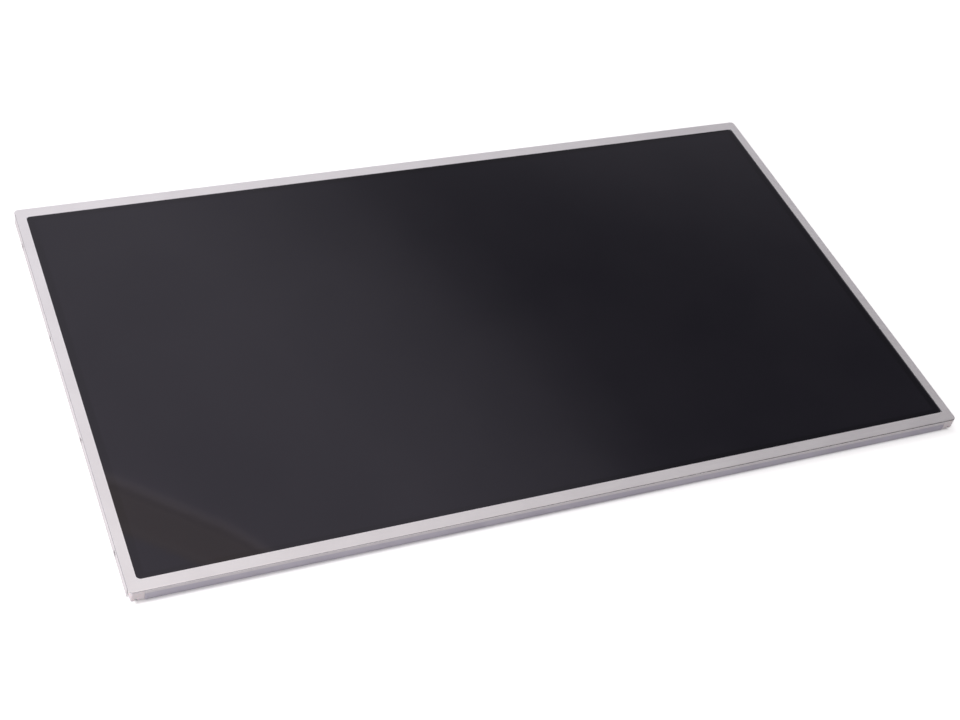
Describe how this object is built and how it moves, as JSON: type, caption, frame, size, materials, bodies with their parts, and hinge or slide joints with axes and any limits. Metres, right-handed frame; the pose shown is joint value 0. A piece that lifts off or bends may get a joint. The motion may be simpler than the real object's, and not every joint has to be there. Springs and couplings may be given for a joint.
{
  "type": "laptop screen panel",
  "caption": "Flat LCD panel for a laptop lid: glossy dark glass cell in a folded silver bezel, LED backlight behind, driver board and signal connector along the rear bottom edge.",
  "frame": {"origin": "middle of the panel's footprint, on the surface that its rear rim rests on", "axes": "+X along the long side, to the viewer's right; +Y towards the screen's top edge; +Z out of the screen"},
  "size_m": [0.3592, 0.2094, 0.0055],
  "materials": {
    "bezel_steel": "satin",
    "polariser_film": "semi-gloss",
    "cell_glass": "polished",
    "black_tape": "matte",
    "frame_plastic": "fine moulded grain",
    "optical_film": "frosted",
    "guide_acrylic": "polished",
    "reflector_film": "matte",
    "led_package": "matte",
    "white_flex": "matte",
    "rear_aluminium": "satin",
    "board_laminate": "solder mask",
    "cover_film": "clear film",
    "film_polyimide": "smooth film",
    "chip_silicon": "polished",
    "chip_package": "moulded",
    "ferrite": "matte",
    "capacitor_ceramic": "fired",
    "connector_plastic": "moulded",
    "connector_steel": "tin plated",
    "contact_metal": "gold plated"
  },
  "bodies": {
    "root": {"front_bezel": "bezel_steel", "front_polariser": "polariser_film", "colour_filter_glass": "cell_glass", "array_glass": "cell_glass", "rear_polariser": "polariser_film", "cell_gasket": "black_tape", "moulded_frame": "frame_plastic", "upper_prism_sheet": "optical_film", "lower_prism_sheet": "optical_film", "diffuser_sheet": "optical_film", "light_guide": "guide_acrylic", "reflector_sheet": "reflector_film", "leds": "led_package", "led_flex": "white_flex", "rear_cover": "rear_aluminium", "driver_board": "board_laminate", "board_tape": "black_tape", "board_cover": "cover_film", "timing_controller": "chip_package", "power_chip": "chip_package", "backlight_driver": "chip_package", "memory_chip": "chip_package", "inductors": "ferrite", "capacitors": "capacitor_ceramic", "connector_housing": "connector_plastic", "connector_shell": "connector_steel", "connector_contacts": "contact_metal", "driver_film_1": "film_polyimide", "driver_chip_1": "chip_silicon", "driver_film_2": "film_polyimide", "driver_chip_2": "chip_silicon", "driver_film_3": "film_polyimide", "driver_chip_3": "chip_silicon", "driver_film_4": "film_polyimide", "driver_chip_4": "chip_silicon"}
  },
  "joints": []
}
